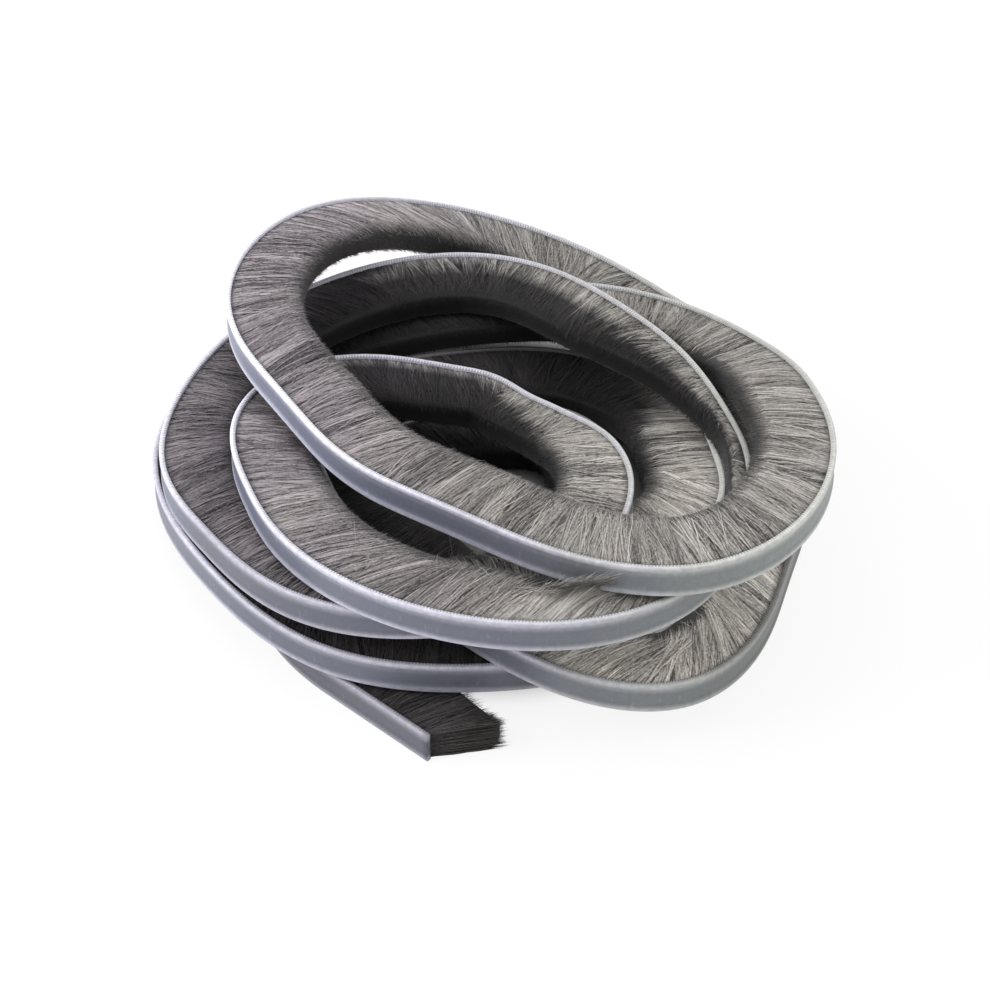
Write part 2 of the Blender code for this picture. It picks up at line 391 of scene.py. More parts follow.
def sweep(name, outline, spacing, material, light, shift=None):
    """A closed body along the whole strip from an outline of (depth, height) points.

    light tells how well each point is lit, from its distance, depth and position.
    """
    count = int(LINE.length / spacing) + 1
    distance = np.linspace(0.0, LINE.length, count)
    depth, height = (np.array(column) for column in zip(*outline))
    sides = len(depth)
    rows = np.repeat(distance[:, None], sides, axis=1)
    depths = np.repeat(depth[None, :], count, axis=0)
    heights = np.repeat(height[None, :], count, axis=0)
    offsets = np.zeros_like(rows)
    if shift is not None:
        offsets, depths, heights = shift(rows, depths, heights)
    points = LINE.place(rows, offsets, depths, heights)
    lit = light(rows, depths, points)
    points = points.reshape(-1, 3)
    ring = np.arange(sides)
    after = (ring + 1) % sides
    base = np.arange(count - 1)[:, None] * sides
    quads = np.stack([base + ring, base + after, base + sides + after, base + sides + ring], axis=-1)
    quads = quads.reshape(-1, 4)
    faces = np.vstack([quads[:, [0, 1, 2]], quads[:, [0, 2, 3]]])
    fan = np.stack([np.zeros(sides - 2, int), ring[2:], ring[1:-1]], axis=-1)
    last = (count - 1) * sides
    faces = np.vstack([faces, fan, last + fan[:, ::-1]])
    attributes = {
        "distance": rows.ravel(),
        "across": heights.ravel() / BACKING_WIDTH,
        "depth": depths.ravel(),
        "light": lit.ravel(),
    }
    return mesh_object(name, points, faces, material, attributes)


class Socket:
    """A socket in a material, so that shader maths can be written as an expression."""

    def __init__(self, nodes, socket):
        self.nodes = nodes
        self.socket = socket

    def __add__(self, other):
        return self.nodes.maths("ADD", self, other)

    def __radd__(self, other):
        return self.nodes.maths("ADD", other, self)

    def __sub__(self, other):
        return self.nodes.maths("SUBTRACT", self, other)

    def __rsub__(self, other):
        return self.nodes.maths("SUBTRACT", other, self)

    def __mul__(self, other):
        return self.nodes.maths("MULTIPLY", self, other)

    def __rmul__(self, other):
        return self.nodes.maths("MULTIPLY", other, self)

    def above(self, edge, softness):
        """0 below the edge and 1 above it, over a soft step."""
        values = {"Value": self, "From Min": edge - softness, "From Max": edge + softness}
        return self.nodes.add("ShaderNodeMapRange", {"interpolation_type": "SMOOTHSTEP"}, values)


class Nodes:
    """The nodes of one material or sky. add makes any node and hands back one of its outputs."""

    def __init__(self, owner):
        owner.use_nodes = True
        self.tree = owner.node_tree
        self.tree.nodes.clear()

    def make(self, kind, settings=None, values=None):
        node = self.tree.nodes.new(kind)
        settings = dict(settings or {})
        stops = settings.pop("stops", None)
        for key, value in settings.items():
            setattr(node, key, value)
        if stops:
            elements = node.color_ramp.elements
            while len(elements) > 1:
                elements.remove(elements[-1])
            for k, (place, colour) in enumerate(stops):
                element = elements[0] if k == 0 else elements.new(place)
                element.position = place
                element.color = (*colour, 1.0)
        for key, value in (values or {}).items():
            if isinstance(value, Socket):
                self.tree.links.new(value.socket, node.inputs[key])
            else:
                node.inputs[key].default_value = value
        return node

    def add(self, kind, settings=None, values=None, output=0):
        return Socket(self, self.make(kind, settings, values).outputs[output])

    def maths(self, operation, *values):
        return self.add("ShaderNodeMath", {"operation": operation}, dict(enumerate(values)))

    def attribute(self, label):
        return self.add("ShaderNodeAttribute", {"attribute_name": label}, None, "Fac")

    def noise(self, place, scale, detail):
        return self.add("ShaderNodeTexNoise", None, {"Vector": place, "Scale": scale, "Detail": detail})

    def blend(self, factor, first, second, way="MIX", held=True):
        """Mixes two colours. A factor that isn't held may go past 1, beyond the second colour."""
        settings = {"data_type": "RGBA", "blend_type": way, "clamp_factor": held}
        return self.add("ShaderNodeMix", settings, {0: factor, 6: first, 7: second}, 2)

    def seen(self):
        """1 where the camera, a mirror or a clear body looks, and 0 for light on its way elsewhere."""
        ray = self.make("ShaderNodeLightPath")
        camera, glossy, through = (Socket(self, ray.outputs[label]) for label in
                                   ("Is Camera Ray", "Is Glossy Ray", "Is Transmission Ray"))
        return self.maths("MAXIMUM", camera, self.maths("MAXIMUM", glossy, through))


def rgba(colour, gain=1.0):
    return (colour[0] * gain, colour[1] * gain, colour[2] * gain, 1.0)


def backing_material(looks):
    """Milky plastic: painted highlights on its rims over a greyer recess, a painted tint of greener,
    lighter light on the coil's right, painted light and shade by place along the strip, small ticks
    along its fibre edge, faint creases.
    """
    material = bpy.data.materials.new("milky_plastic")
    nodes = Nodes(material)
    across = nodes.attribute("across")
    distance = nodes.attribute("distance")
    depth = nodes.attribute("depth")
    light = nodes.attribute("light")
    spot = nodes.add("ShaderNodeTexCoord", None, None, "Object")
    east = nodes.add("ShaderNodeSeparateXYZ", None, {"Vector": spot})
    along = nodes.add("ShaderNodeCombineXYZ", None, {"X": distance * MILLIMETRES, "Y": across * 2.0})
    cloud = nodes.noise(along, CLOUD_SCALE, 3.0)
    crease = nodes.noise(along, CREASE_SCALE, 1.0)
    mottle = nodes.noise(spot, MOTTLE_SCALE, 3.0)
    # Painted tint of the light: the plastic's face and rims turn greener and lighter on the coil's
    # right.
    green_light_tint = (east + (cloud - 0.5) * 0.08).above(*GREEN_LIGHT_TINT_EDGE)
    face = nodes.blend(green_light_tint, rgba(looks.backing_face), rgba(looks.backing_face_green_lit))
    edge = nodes.blend(green_light_tint, rgba(looks.backing_rim_highlight), rgba(looks.backing_rim_highlight_green_lit))
    # Painted highlights: the top rim and, less strongly, the foot rim take the light rim colour, where
    # light catches their upward faces.
    top = across.above(*TOP_HIGHLIGHT)
    foot = 1.0 - across.above(*FOOT_HIGHLIGHT)
    mottled = mottle.above(0.5, 0.2)
    creased = crease.above(0.72, 0.10)
    colour = nodes.blend(top, face, edge)
    colour = nodes.blend(foot * FOOT_HIGHLIGHT_SHOWN, colour, edge)
    colour = nodes.blend(cloud * CLOUD_SHOWN, colour, rgba(looks.backing_shade))
    colour = nodes.blend(mottled * MOTTLE_SHOWN, colour, rgba(looks.backing_shade, 0.8))
    colour = nodes.blend(creased * CREASE_SHOWN, colour, edge)
    wave = distance * (2.0 * math.pi / looks.tick_pitch)
    tick = nodes.maths("SINE", wave).above(0.2, 0.5) * depth.above(*TICKED_SKIN)
    tick = tick * across.above(*TICKED_EDGE) * TICK_SHOWN
    colour = nodes.blend(tick, colour, rgba(looks.pile_middle, 0.7))
    # Painted light and shade by place along the strip: the light attribute darkens the backing towards
    # the dark fibre colour, and past 1 lightens it beyond its plain colour.
    colour = nodes.blend(light, rgba(looks.pile_dark), colour, held=False)
    bump = nodes.add("ShaderNodeBump", None, {"Strength": 0.15, "Distance": 0.0002, "Height": crease})
    shader = nodes.add("ShaderNodeBsdfPrincipled", None, {
        "Base Color": colour, "Roughness": looks.backing_roughness, "Normal": bump,
        "Specular IOR Level": 0.4, "Coat Weight": 0.1, "Coat Roughness": 0.25,
    })
    nodes.make("ShaderNodeOutputMaterial", None, {"Surface": shader})
    return material


def fibre_material(looks, name, gain):
    """Fine synthetic fibre, lighter or darker wisp by wisp, with painted shade at its roots and where no
    sky is seen, painted light past its plain colour, and a painted lilac tint of the light on the left.
    """
    material = bpy.data.materials.new(name)
    nodes = Nodes(material)
    run = nodes.attribute("run")
    light = nodes.attribute("light")
    place = nodes.add("ShaderNodeTexCoord", None, None, "Object")
    patch = nodes.noise(place, PATCH_SCALE, 2.0)
    fleck = nodes.noise(place, FLECK_SCALE, 2.0)
    tone = nodes.attribute("tone") + (patch - 0.5) * PATCH_SHOWN + (fleck - 0.5) * FLECK_SHOWN
    stops = [(0.0, looks.pile_dark), (0.5, looks.pile_middle), (1.0, looks.pile_light)]
    stops = [(at, tuple(channel * gain for channel in colour)) for at, colour in stops]
    colour = nodes.add("ShaderNodeValToRGB", {"stops": stops}, {"Fac": tone})
    east = nodes.add("ShaderNodeSeparateXYZ", None, {"Vector": place})
    # Painted tint of the light: a lilac colour is multiplied over the fibre on the coil's left.
    left = 1.0 - (east + (patch - 0.5) * 0.10).above(*LILAC_LIGHT_TINT_EDGE)
    colour = nodes.blend(left, colour, nodes.blend(1.0, colour, rgba(looks.lilac_light_tint), "MULTIPLY"))
    # Painted shade at the roots: fibre darkens towards the dark fibre colour near the backing.
    rooted = 1.0 - run.above(*SHADED_ROOTS)
    colour = nodes.blend(rooted * ROOT_SHADE_SHOWN, colour, rgba(looks.pile_dark))
    # Painted light and shade: the light attribute mixes from the deep fibre colour, for shade, up to the
    # fibre colour and past it where more light is painted.
    deep = nodes.blend(1.0, colour, rgba(looks.pile_deep), "MULTIPLY")
    colour = nodes.blend(light, deep, colour, held=False)
    shader = nodes.add("ShaderNodeBsdfPrincipled", None, {
        "Base Color": colour, "Roughness": 0.65, "Specular IOR Level": 0.2,
        "Sheen Weight": 0.1, "Sheen Roughness": 0.5,
    })
    nodes.make("ShaderNodeOutputMaterial", None, {"Surface": shader})
    return material


def common_fibre(looks):
    """The material that most wisps share, made once."""
    return bpy.data.materials.get("fibre") or fibre_material(looks, "fibre", 1.0)


def floor_material(looks):
    """Pale floor that reads as white to the camera, keeps a soft shadow, and has a patch of painted
    shade under the coil.
    """
    material = bpy.data.materials.new("pale_floor")
    nodes = Nodes(material)
    place = nodes.add("ShaderNodeTexCoord", None, None, "Object")
    centre = (looks.shade_centre[0], looks.shade_centre[1], 0.0)
    stretch = (1.0 / looks.shade_reach[0], 1.0 / looks.shade_reach[1], 0.0)
    apart = nodes.add("ShaderNodeVectorMath", {"operation": "SUBTRACT"}, {0: place, 1: centre})
    apart = nodes.add("ShaderNodeVectorMath", {"operation": "MULTIPLY"}, {0: apart, 1: stretch})
    away = nodes.add("ShaderNodeVectorMath", {"operation": "LENGTH"}, {0: apart}, "Value")
    # Painted shade: inside an ellipse under the coil the floor takes the dark ground colour, and the
    # white glow is kept off it.
    clear = away.above(1.0, 0.12)
    colour = nodes.blend(clear, rgba(looks.ground_shade), rgba(looks.floor_colour))
    matt = nodes.add("ShaderNodeBsdfPrincipled", None, {
        "Base Color": colour, "Roughness": 1.0, "Specular IOR Level": 0.0,
    })
    glow = nodes.add("ShaderNodeEmission", None, {"Color": (1.0, 1.0, 1.0, 1.0), "Strength": 1.0})
    shown = nodes.seen() * clear * looks.floor_glow
    shader = nodes.add("ShaderNodeMixShader", None, {0: shown, 1: matt, 2: glow})
    nodes.make("ShaderNodeOutputMaterial", None, {"Surface": shader})
    return material


def rounded_backing():
    """Outline of the backing as (depth, height): flat, with soft rims along its adhesive face."""
    sizes = bpy.context.scene.strip_sizes
    width = BACKING_WIDTH
    rim = sizes.rim_width
    sunk = sizes.rim_height
    edge = sizes.edge_round
    inner = BACKING_THICKNESS
    low = [
        (inner - edge * 0.5, 0.0), (edge, 0.0), (edge * 0.3, edge * 0.3), (0.0, edge),
        (0.0, rim - sunk), (sunk * 0.3, rim), (sunk, rim + sunk), (sunk, width * 0.33),
    ]
    high = [(depth, width - height) for depth, height in reversed(low)]
    return low + high + [(inner, width - edge * 0.5), (inner, edge * 0.5)]


def end_swing(distance):
    """How far fibres swing out past the cut tail, as offset over length."""
    sizes = bpy.context.scene.strip_sizes
    fade = np.clip(1.0 - distance / sizes.swing_length, 0.0, 1.0)
    return -sizes.swing * fade * fade


def combed(distance):
    """How far fibres are combed along the strip, as offset over length."""
    return at_stations(COMBED, distance)[0]


def worn(distance):
    """What share of their length fibres keep near the cut tail."""
    sizes = bpy.context.scene.strip_sizes
    return 1.0 - sizes.tail_wear * smooth_step(1.0 - distance / sizes.swing_length)


class PileShape:
    """Where the pile's skin lies: its upper and lower heights and the reach of its tips."""

    NECK = 0.3
    ROUNDING = 0.0024
    TIP_BULGE = 0.96

    def __init__(self, sizes):
        self.root = BACKING_THICKNESS
        self.length = STRIP_DEPTH - BACKING_THICKNESS
        self.root_half = sizes.pile_root_width / 2.0
        self.full_half = sizes.pile_full_width / 2.0

    def half_width(self, share):
        """Half of the pile's height at a share of the way from root to tip."""
        half = self.root_half + (self.full_half - self.root_half) * smooth_step(share / self.NECK)
        from_tip = np.clip((1.0 - share) * self.length / self.ROUNDING, 0.0, 1.0)
        return half - self.ROUNDING * (1.0 - np.sqrt(1.0 - (1.0 - from_tip) ** 2))

    def tip_share(self, rise):
        """Where the tips end, as a share of the length, for a height over the middle from -1 to 1."""
        over = (np.abs(rise) * self.full_half - (self.full_half - self.ROUNDING)) / self.ROUNDING
        over = np.clip(over, 0.0, 1.0)
        return 1.0 - (1.0 - np.sqrt(1.0 - over * over * self.TIP_BULGE)) * self.ROUNDING / self.length


def clumps(random, distance, gather):
    """For each fibre, the middle of its clump, how hard it gathers, and the clump's own tone."""
    sizes = bpy.context.scene.strip_sizes
    count = int(LINE.length / sizes.clump_width) + 2
    uneven = random.uniform(-CLUMP_JITTER, CLUMP_JITTER, count)
    middles = np.sort((np.arange(count) + uneven) * sizes.clump_width)
    borders = (middles[1:] + middles[:-1]) / 2.0
    which = np.searchsorted(borders, distance)
    pull = random.uniform(*gather, count)[which]
    tone = random.normal(0.0, 1.0, count)[which]
    lift = random.normal(0.0, 1.0, count)[which]
    return middles[which], pull, tone, lift


def wisps(name, material, distance, course, radii, tones, random, sides, ragged):
    """Wisps of fibre as flat ribbons (2 sides) or closed spikes (3 sides).

    Each column of the course's runs, offsets, depths and heights is one ring, and the last column is
    the pointed tip.
    """
    runs, offsets, depths, heights = course
    count, rings = depths.shape
    centre = LINE.place(np.repeat(distance[:, None], rings, axis=1), offsets, depths, heights)
    heading = np.diff(centre, axis=1)
    heading = unit(np.concatenate([heading, heading[:, -1:]], axis=1))
    side = unit(np.cross(heading, np.array((0.0, 0.0, 1.0))))
    rise = np.cross(side, heading)
    roll = random.uniform(-WISP_ROLL, WISP_ROLL, count)
    corners = []
    for k in range(sides):
        turn = roll + k * 2.0 * math.pi / sides
        spoke = side * np.cos(turn)[:, None, None] + rise * np.sin(turn)[:, None, None]
        corners.append(centre[:, :-1] + spoke[:, :-1] * radii[:, :, None])
    body = np.stack(corners, axis=2)
    per_wisp = (rings - 1) * sides + 1
    points = np.concatenate([body.reshape(count, -1, 3), centre[:, -1:]], axis=1)
    edges = [(0, 1)] if sides == 2 else [(k, (k + 1) % sides) for k in range(sides)]
    faces = [] if sides == 2 else [(0, 2, 1)]
    for low in range(0, (rings - 2) * sides, sides):
        for k, after in edges:
            faces.append((low + k, low + after, low + sides + after))
            faces.append((low + k, low + sides + after, low + sides + k))
    top = (rings - 2) * sides
    faces.extend((top + k, top + after, per_wisp - 1) for k, after in edges)
    faces = np.arange(count)[:, None, None] * per_wisp + np.array(faces)[None]
    tone = np.repeat(tones[:, None], per_wisp, axis=1)
    run = np.concatenate([np.repeat(runs[:, :-1], sides, axis=1), runs[:, -1:]], axis=1)
    light = pile_light(distance[:, None], runs, centre, ragged[:, None])
    light = np.concatenate([np.repeat(light[:, :-1], sides, axis=1), light[:, -1:]], axis=1)
    attributes = {"tone": tone.ravel(), "run": run.ravel(), "light": light.ravel()}
    return mesh_object(name, points.reshape(-1, 3), faces.reshape(-1, 3), material, attributes)


def ride_as(piece, slot, *nodes):
    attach(piece, "root")
    if nodes:
        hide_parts(*nodes)


def lay_wisps(name, material, distance, course, radii, tones, random, sides, ragged=None, stretches=1):
    """Wisps in one mesh for each stretch of the strip, each attached to the root body."""
    if ragged is None:
        ragged = np.zeros(len(distance))
    for k, part in enumerate(np.array_split(np.arange(len(distance)), stretches)):
        label = name if stretches == 1 else f"{name}_{k + 1}"
        lay = [column[part] for column in course]
        piece = wisps(label, material, distance[part], lay, radii[part], tones[part], random, sides,
                      ragged[part])
        ride_as(piece, "pile")


class StripSizes(PropertyGroup):
    rim_width: FloatProperty(
        name="Rim width", description="Width of the raised rim along each edge", default=0.0015,
        unit="LENGTH")
    rim_height: FloatProperty(
        name="Rim height", description="How far the rims stand proud", default=0.0003, unit="LENGTH")
    edge_round: FloatProperty(
        name="Edge rounding", description="Rounding of the backing's edges", default=0.0004,
        unit="LENGTH")
    pile_root_width: FloatProperty(
        name="Root width", description="Width of the pile where it is rooted", default=0.0078,
        unit="LENGTH")
    pile_full_width: FloatProperty(
        name="Full width", description="Width of the pile near its tips", default=0.0090, unit="LENGTH")
    clump_width: FloatProperty(
        name="Clump width", description="How wide the fibres gather into wisps", default=0.0016,
        unit="LENGTH")
    fibre_radius: FloatProperty(
        name="Wisp radius", description="Half the width of one wisp of fibre", default=0.00012,
        unit="LENGTH")
    tail_wear: FloatProperty(
        name="Tail wear", description="Share of their length that fibres lack at the cut tail",
        default=0.18, min=0.0, max=1.0, subtype="FACTOR")
    wave: FloatProperty(
        name="Wave", description="How far fibres curl to either side", default=0.0007, unit="LENGTH")
    swing: FloatProperty(
        name="End swing", description="How far fibres swing out at the cut tail, over their length",
        default=0.55)
    swing_length: FloatProperty(
        name="Swing length", description="Length of strip whose fibres swing out", default=0.024,
        unit="LENGTH")
    tuft_at: FloatProperty(
        name="Tuft place", description="Distance of the raised tuft from the cut tail", default=2.473,
        unit="LENGTH")
    tuft_reach: FloatProperty(
        name="Tuft reach", description="How far the tuft spreads to either side", default=0.018,
        unit="LENGTH")
    tuft_rise: FloatProperty(
        name="Tuft rise", description="How far the tuft's tips are pushed up", default=0.0100,
        unit="LENGTH")
    upper_per_mm: FloatProperty(
        name="Upper wisps", description="Wisps on the upper side for each millimetre", default=28.0)
    tip_per_mm: FloatProperty(
        name="Tip wisps", description="Wisps on the face of tips for each millimetre", default=15.0)
    stray_per_mm: FloatProperty(
        name="Stray fibres", description="Loose fibres for each millimetre", default=0.5)
    end_count: IntProperty(
        name="End fibres", description="Wisps over the two cut ends", default=2400)
    lower_per_mm: FloatProperty(
        name="Lower wisps", description="Wisps on the underside for each millimetre", default=3.0)
    stretches: IntProperty(
        name="Stretches", description="Into how many meshes the fibres are split", default=6)


class StripLooks(PropertyGroup):
    backing_face: FloatVectorProperty(
        name="Backing face", description="Recess of the adhesive face", subtype="COLOR",
        default=(0.120, 0.127, 0.170))
    # The rim colour is a painted highlight over the backing's plain face colour.
    backing_rim_highlight: FloatVectorProperty(
        name="Backing edge", description="Bright rims of the backing", subtype="COLOR",
        default=(0.64, 0.63, 0.73))
    # Face and rim colours on the coil's right: a painted tint of greener, lighter light.
    backing_face_green_lit: FloatVectorProperty(
        name="Right backing face", description="Recess of the adhesive face on the coil's right side",
        subtype="COLOR", default=(0.190, 0.206, 0.200))
    backing_rim_highlight_green_lit: FloatVectorProperty(
        name="Right backing edge", description="Bright rims on the coil's right side", subtype="COLOR",
        default=(0.60, 0.61, 0.57))
    backing_shade: FloatVectorProperty(
        name="Backing shade", description="Greyer patches of the backing", subtype="COLOR",
        default=(0.12, 0.13, 0.15))
    backing_roughness: FloatProperty(
        name="Backing roughness", description="Roughness of the plastic", default=0.45,
        min=0.0, max=1.0, subtype="FACTOR")
    tick_pitch: FloatProperty(
        name="Tick pitch", description="Distance between the small ticks along the fibre edge",
        default=0.00085, unit="LENGTH")
    pile_deep: FloatVectorProperty(
        name="Deep fibre", description="Fibre that no light reaches", subtype="COLOR",
        default=(0.065, 0.062, 0.068))
    pile_dark: FloatVectorProperty(
        name="Dark fibre", description="Dark fibre colour", subtype="COLOR",
        default=(0.040, 0.036, 0.036))
    pile_middle: FloatVectorProperty(
        name="Fibre", description="Common fibre colour", subtype="COLOR", default=(0.285, 0.270, 0.250))
    pile_light: FloatVectorProperty(
        name="Light fibre", description="Lightest fibre colour", subtype="COLOR",
        default=(0.50, 0.475, 0.445))
    # Colour of the painted lilac tint of the light over the left of the coil.
    lilac_light_tint: FloatVectorProperty(
        name="Lilac cast", description="Tint over the left of the coil", subtype="COLOR",
        default=(0.86, 0.815, 0.95))
    floor_colour: FloatVectorProperty(
        name="Floor", description="Floor colour", subtype="COLOR", default=(0.92, 0.92, 0.92))
    ground_shade: FloatVectorProperty(
        name="Ground shade", description="Floor inside the coil", subtype="COLOR",
        default=(0.18, 0.175, 0.175))
    floor_glow: FloatProperty(
        name="Floor white", description="How much of the floor reads as plain white", default=0.88,
        min=0.0, max=1.0, subtype="FACTOR")
    shade_centre: FloatVectorProperty(
        name="Shade centre", description="Middle of the dark ground under the coil", size=2,
        subtype="TRANSLATION", default=(0.003, -0.004))
    shade_reach: FloatVectorProperty(
        name="Shade reach", description="Half length of the dark ground each way", size=2,
        subtype="TRANSLATION", default=(0.072, 0.077))


class StudioSizes(PropertyGroup):
    elevation: FloatProperty(
        name="Elevation", description="Camera's angle above the floor", default=math.radians(40.0),
        subtype="ANGLE")
    distance: FloatProperty(
        name="Distance", description="Camera to the middle of the coil", default=0.700, unit="LENGTH")
    lens: FloatProperty(
        name="Lens", description="Focal length in millimetres on a 36 mm sensor", default=95.45,
        unit="CAMERA")
    target: FloatVectorProperty(
        name="Target", description="Point in the middle of the picture, from the coil's axis",
        subtype="TRANSLATION", default=(0.002, -0.022, 0.025))
    floor_size: FloatProperty(
        name="Floor size", description="Side of the floor", default=6.0, unit="LENGTH")
    key_power: FloatProperty(
        name="Key light", description="Power of the main lamp", default=9.5, unit="POWER")
    fill_power: FloatProperty(
        name="Fill light", description="Power of the fill lamp", default=3.0, unit="POWER")
    top_power: FloatProperty(
        name="Top light", description="Power of the lamp overhead", default=4.0, unit="POWER")
    sky: FloatProperty(name="Sky", description="Strength of the light from all round", default=0.55)


class STRIP_OT_backing(Operator):
    """Sweep the plastic backing along the strip's line"""

    bl_idname = "brush_strip.backing"
    bl_label = "Backing"

    SPACING = 0.002

    def execute(self, context):
        material = backing_material(context.scene.strip_looks)
        backing = sweep("backing", rounded_backing(), self.SPACING, material, tape_light)
        ride_as(backing, "backing", "backing_tape")
        return {"FINISHED"}


class STRIP_OT_pile_core(Operator):
    """Sweep the body under the visible fibres, darkened as painted shade between them"""

    bl_idname = "brush_strip.pile_core"
    bl_label = "Pile core"

    SPACING = 0.003
    SUNK = 0.0007
    SHARES = (0.0, 0.12, 0.3, 0.6, 0.85, 0.95, 0.985)
    # The core's colours are scaled down, as painted shade in the gaps between the wisps.
    SHADE_GAIN = 0.40

    def execute(self, context):
        shape = PileShape(context.scene.strip_sizes)
        shares = np.array(self.SHARES)
        halves = shape.half_width(shares) - self.SUNK
        middle = BACKING_WIDTH / 2.0
        depths = shape.root + shares * (shape.length - self.SUNK)
        low = [(depth, middle - half) for depth, half in zip(depths, halves)]
        high = [(depth, middle + half) for depth, half in zip(depths[::-1], halves[::-1])]

        def swing(rows, depth, height):
            reach = (depth - shape.root) * worn(rows)
            return end_swing(rows) * reach, shape.root + reach, height

        def light(rows, depth, points):
            return pile_light(rows, (depth - shape.root) / shape.length, points)

        material = fibre_material(context.scene.strip_looks, "fibre_core", self.SHADE_GAIN)
        core = sweep("pile_core", low + high, self.SPACING, material, light, swing)
        ride_as(core, "pile", "pile")
        return {"FINISHED"}


# In the makers of fibres, sizes are in metres, and ends, starts, lengths and leans are shares of the
# pile's length. A sway is the most that it shifts, and the length of strip over which it changes.


class STRIP_OT_upper_fibres(Operator):
    """Lay wisps of fibre over the pile's upper side"""

    bl_idname = "brush_strip.upper_fibres"
    bl_label = "Upper fibres"

    SEED = 11
    RINGS = (0.0, 0.25, 0.5, 0.75, 1.0)
    GATHER = (0.15, 0.95)
    GATHER_CURVE = 1.4
    SUNK_CURVE = (1.2, 2.2)
    SUNK_MOST = 0.0015
    END = 0.975
    END_SPREAD = 0.02
    END_LOST_WHERE_SUNK = 18.0
    END_RANGE = (0.82, 1.03)
    BROAD_SWAY = (0.20, 0.050)
    CLOSE_SWAY = (0.30, 0.014)
    LEAN_SPREAD = 0.13
    CURLS = 1.9
    CURL_SHIFT = (3.0, 0.008)
    CURL_SHIFT_SPREAD = 0.7
    CURL_SIZE = 0.6
    CURL_SIZE_SWAY = (0.5, 0.017)
    CLUMP_LIFT = 0.00016
    LIFT_SPREAD = 0.0001
    THICKNESS = (0.8, 1.1, 1.1, 0.8)
    THICKNESS_SPREAD = (0.6, 1.35)
    TONE = 0.54
    TONE_SPREAD = 0.17
    TONE_SWAY = (0.10, 0.006)
    SHADE_WHERE_SUNK = 250.0
    CLUMP_TONE = 0.13
    CLUMP_RAGGED = 0.05
    RAGGED_SPREAD = 0.04
    TUFT_EDGE = 3.0
    TUFT_DRAWN_BACK = 0.66
    TUFT_PAINTED_LIGHT = 0.30
    TUFT_UNEVEN = 0.2
    TUFT_RANGE = (0.4, 1.4)

    def execute(self, context):
        sizes = context.scene.strip_sizes
        shape = PileShape(sizes)
        random = np.random.default_rng(self.SEED)
        distance = scattered(random, sizes.upper_per_mm)
        count = len(distance)
        middles, pull, clump_tone, clump_lift = clumps(random, distance, self.GATHER)
        sunk = random.beta(*self.SUNK_CURVE, count) * self.SUNK_MOST
        ends = self.END + random.normal(0.0, self.END_SPREAD, count) + self.END_SPREAD * clump_lift
        ends = np.clip(ends - self.END_LOST_WHERE_SUNK * sunk, *self.END_RANGE) * worn(distance)
        lean = wander(random, distance, *self.BROAD_SWAY) + wander(random, distance, *self.CLOSE_SWAY)
        lean = lean + combed(distance) + end_swing(distance)
        lean = lean + random.normal(0.0, self.LEAN_SPREAD, count)
        runs = np.array(self.RINGS)[None, :] * ends[:, None]
        toward = (middles - distance) * pull
        offsets = runs * shape.length * lean[:, None] + runs ** self.GATHER_CURVE * toward[:, None]
        shift = wander(random, distance, *self.CURL_SHIFT)
        shift = shift + random.normal(0.0, self.CURL_SHIFT_SPREAD, count)
        swell = sizes.wave * (self.CURL_SIZE + wander(random, distance, *self.CURL_SIZE_SWAY))
        curl = np.sin(runs * self.CURLS * math.pi + shift[:, None])
        offsets = offsets + swell[:, None] * curl * runs
        near, rise = self.tuft(sizes, distance, clump_lift)
        held = np.clip(self.TUFT_EDGE * near, 0.0, 1.0)
        depths = runs * shape.length * (1.0 - self.TUFT_DRAWN_BACK * held[:, None] * runs ** 2)
        depths = shape.root + depths
        lift = clump_lift * self.CLUMP_LIFT + random.normal(0.0, self.LIFT_SPREAD, count)
        lifted = np.sin(runs * math.pi) * lift[:, None]
        heights = BACKING_WIDTH / 2.0 + shape.half_width(runs) - sunk[:, None] + lifted
        heights = heights + rise[:, None] * runs ** 3
        thickness = random.uniform(*self.THICKNESS_SPREAD, count)
        radii = np.array(self.THICKNESS)[None, :] * thickness[:, None] * sizes.fibre_radius
        # Painted shade: wisps that sit deeper in the pile get a darker tone.
        tones = self.TONE - sunk * self.SHADE_WHERE_SUNK + clump_tone * self.CLUMP_TONE
        tones = tones + random.normal(0.0, self.TONE_SPREAD, count)
        # Painted light: wisps of the tuft get a lighter tone, where the turn above shades them.
        tones = tones + wander(random, distance, *self.TONE_SWAY) + self.TUFT_PAINTED_LIGHT * near
        tones = np.clip(tones, 0.0, 1.0)
        ragged = self.CLUMP_RAGGED * clump_lift + random.normal(0.0, self.RAGGED_SPREAD, count)
        material = common_fibre(context.scene.strip_looks)
        lay_wisps("upper_fibres", material, distance, (runs, offsets, depths, heights), radii, tones,
                  random, 2, ragged, sizes.stretches)
        return {"FINISHED"}

    def tuft(self, sizes, distance, clump_lift):
        """How near each wisp is to the tuft that meets the turn above, and how far it rises there."""
        near = smooth_step(1.0 - np.abs(distance - sizes.tuft_at) / sizes.tuft_reach)
        uneven = np.clip(1.0 + self.TUFT_UNEVEN * clump_lift, *self.TUFT_RANGE)
        return near, near * sizes.tuft_rise * uneven


